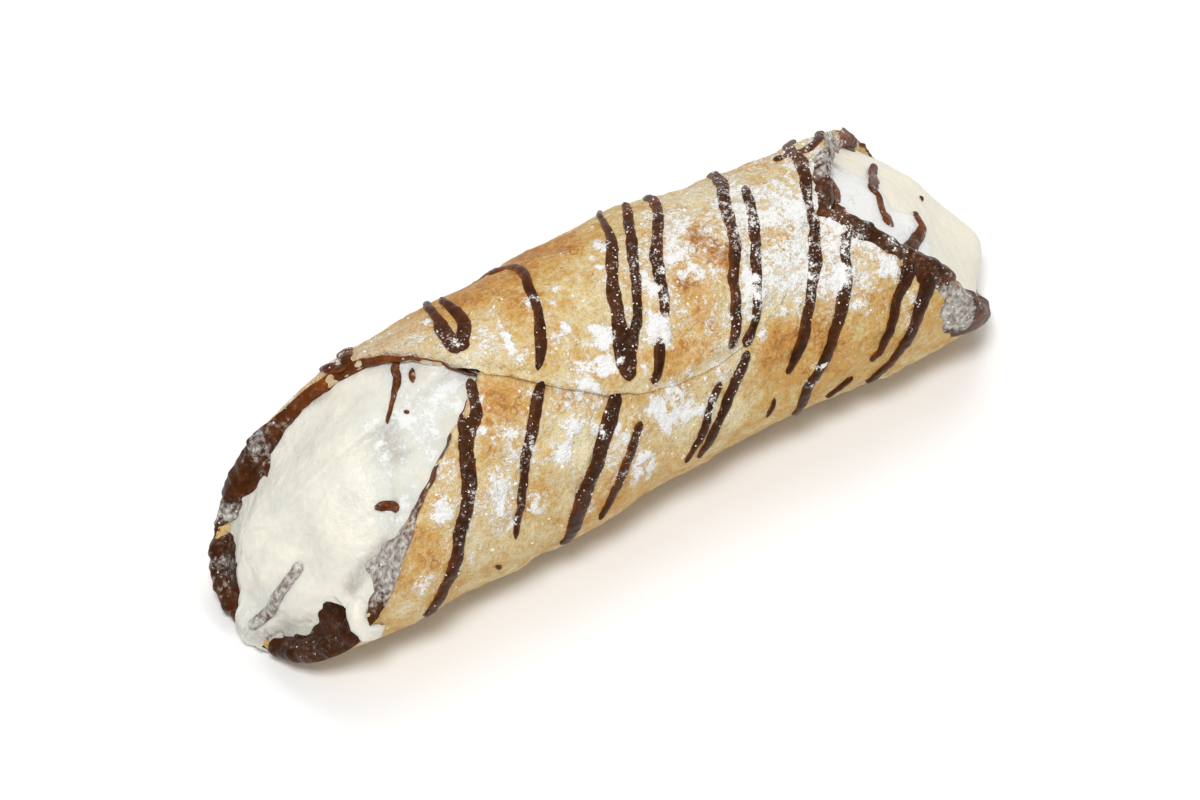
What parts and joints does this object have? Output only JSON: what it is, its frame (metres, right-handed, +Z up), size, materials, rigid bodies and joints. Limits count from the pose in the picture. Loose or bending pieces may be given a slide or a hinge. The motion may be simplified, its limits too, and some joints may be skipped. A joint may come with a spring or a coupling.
{
  "type": "cannoli",
  "caption": "Tube of rolled fried pastry filled with cream, its mouths dipped in chocolate and its outside drizzled with chocolate.",
  "frame": {"origin": "middle of the part at the floor it lies on", "axes": "+X along the rolled tube, towards the mouth that cream bulges from; +Z up"},
  "size_m": [0.1382, 0.0441, 0.0428],
  "materials": {
    "fried_pastry": "matte, blistered fried pastry",
    "cream": "satin, soft cream",
    "chocolate": "glossy chocolate"
  },
  "bodies": {
    "root": {"shell": "fried_pastry", "cream": "cream", "chocolate_left": "chocolate", "chocolate_right": "chocolate"}
  },
  "joints": []
}
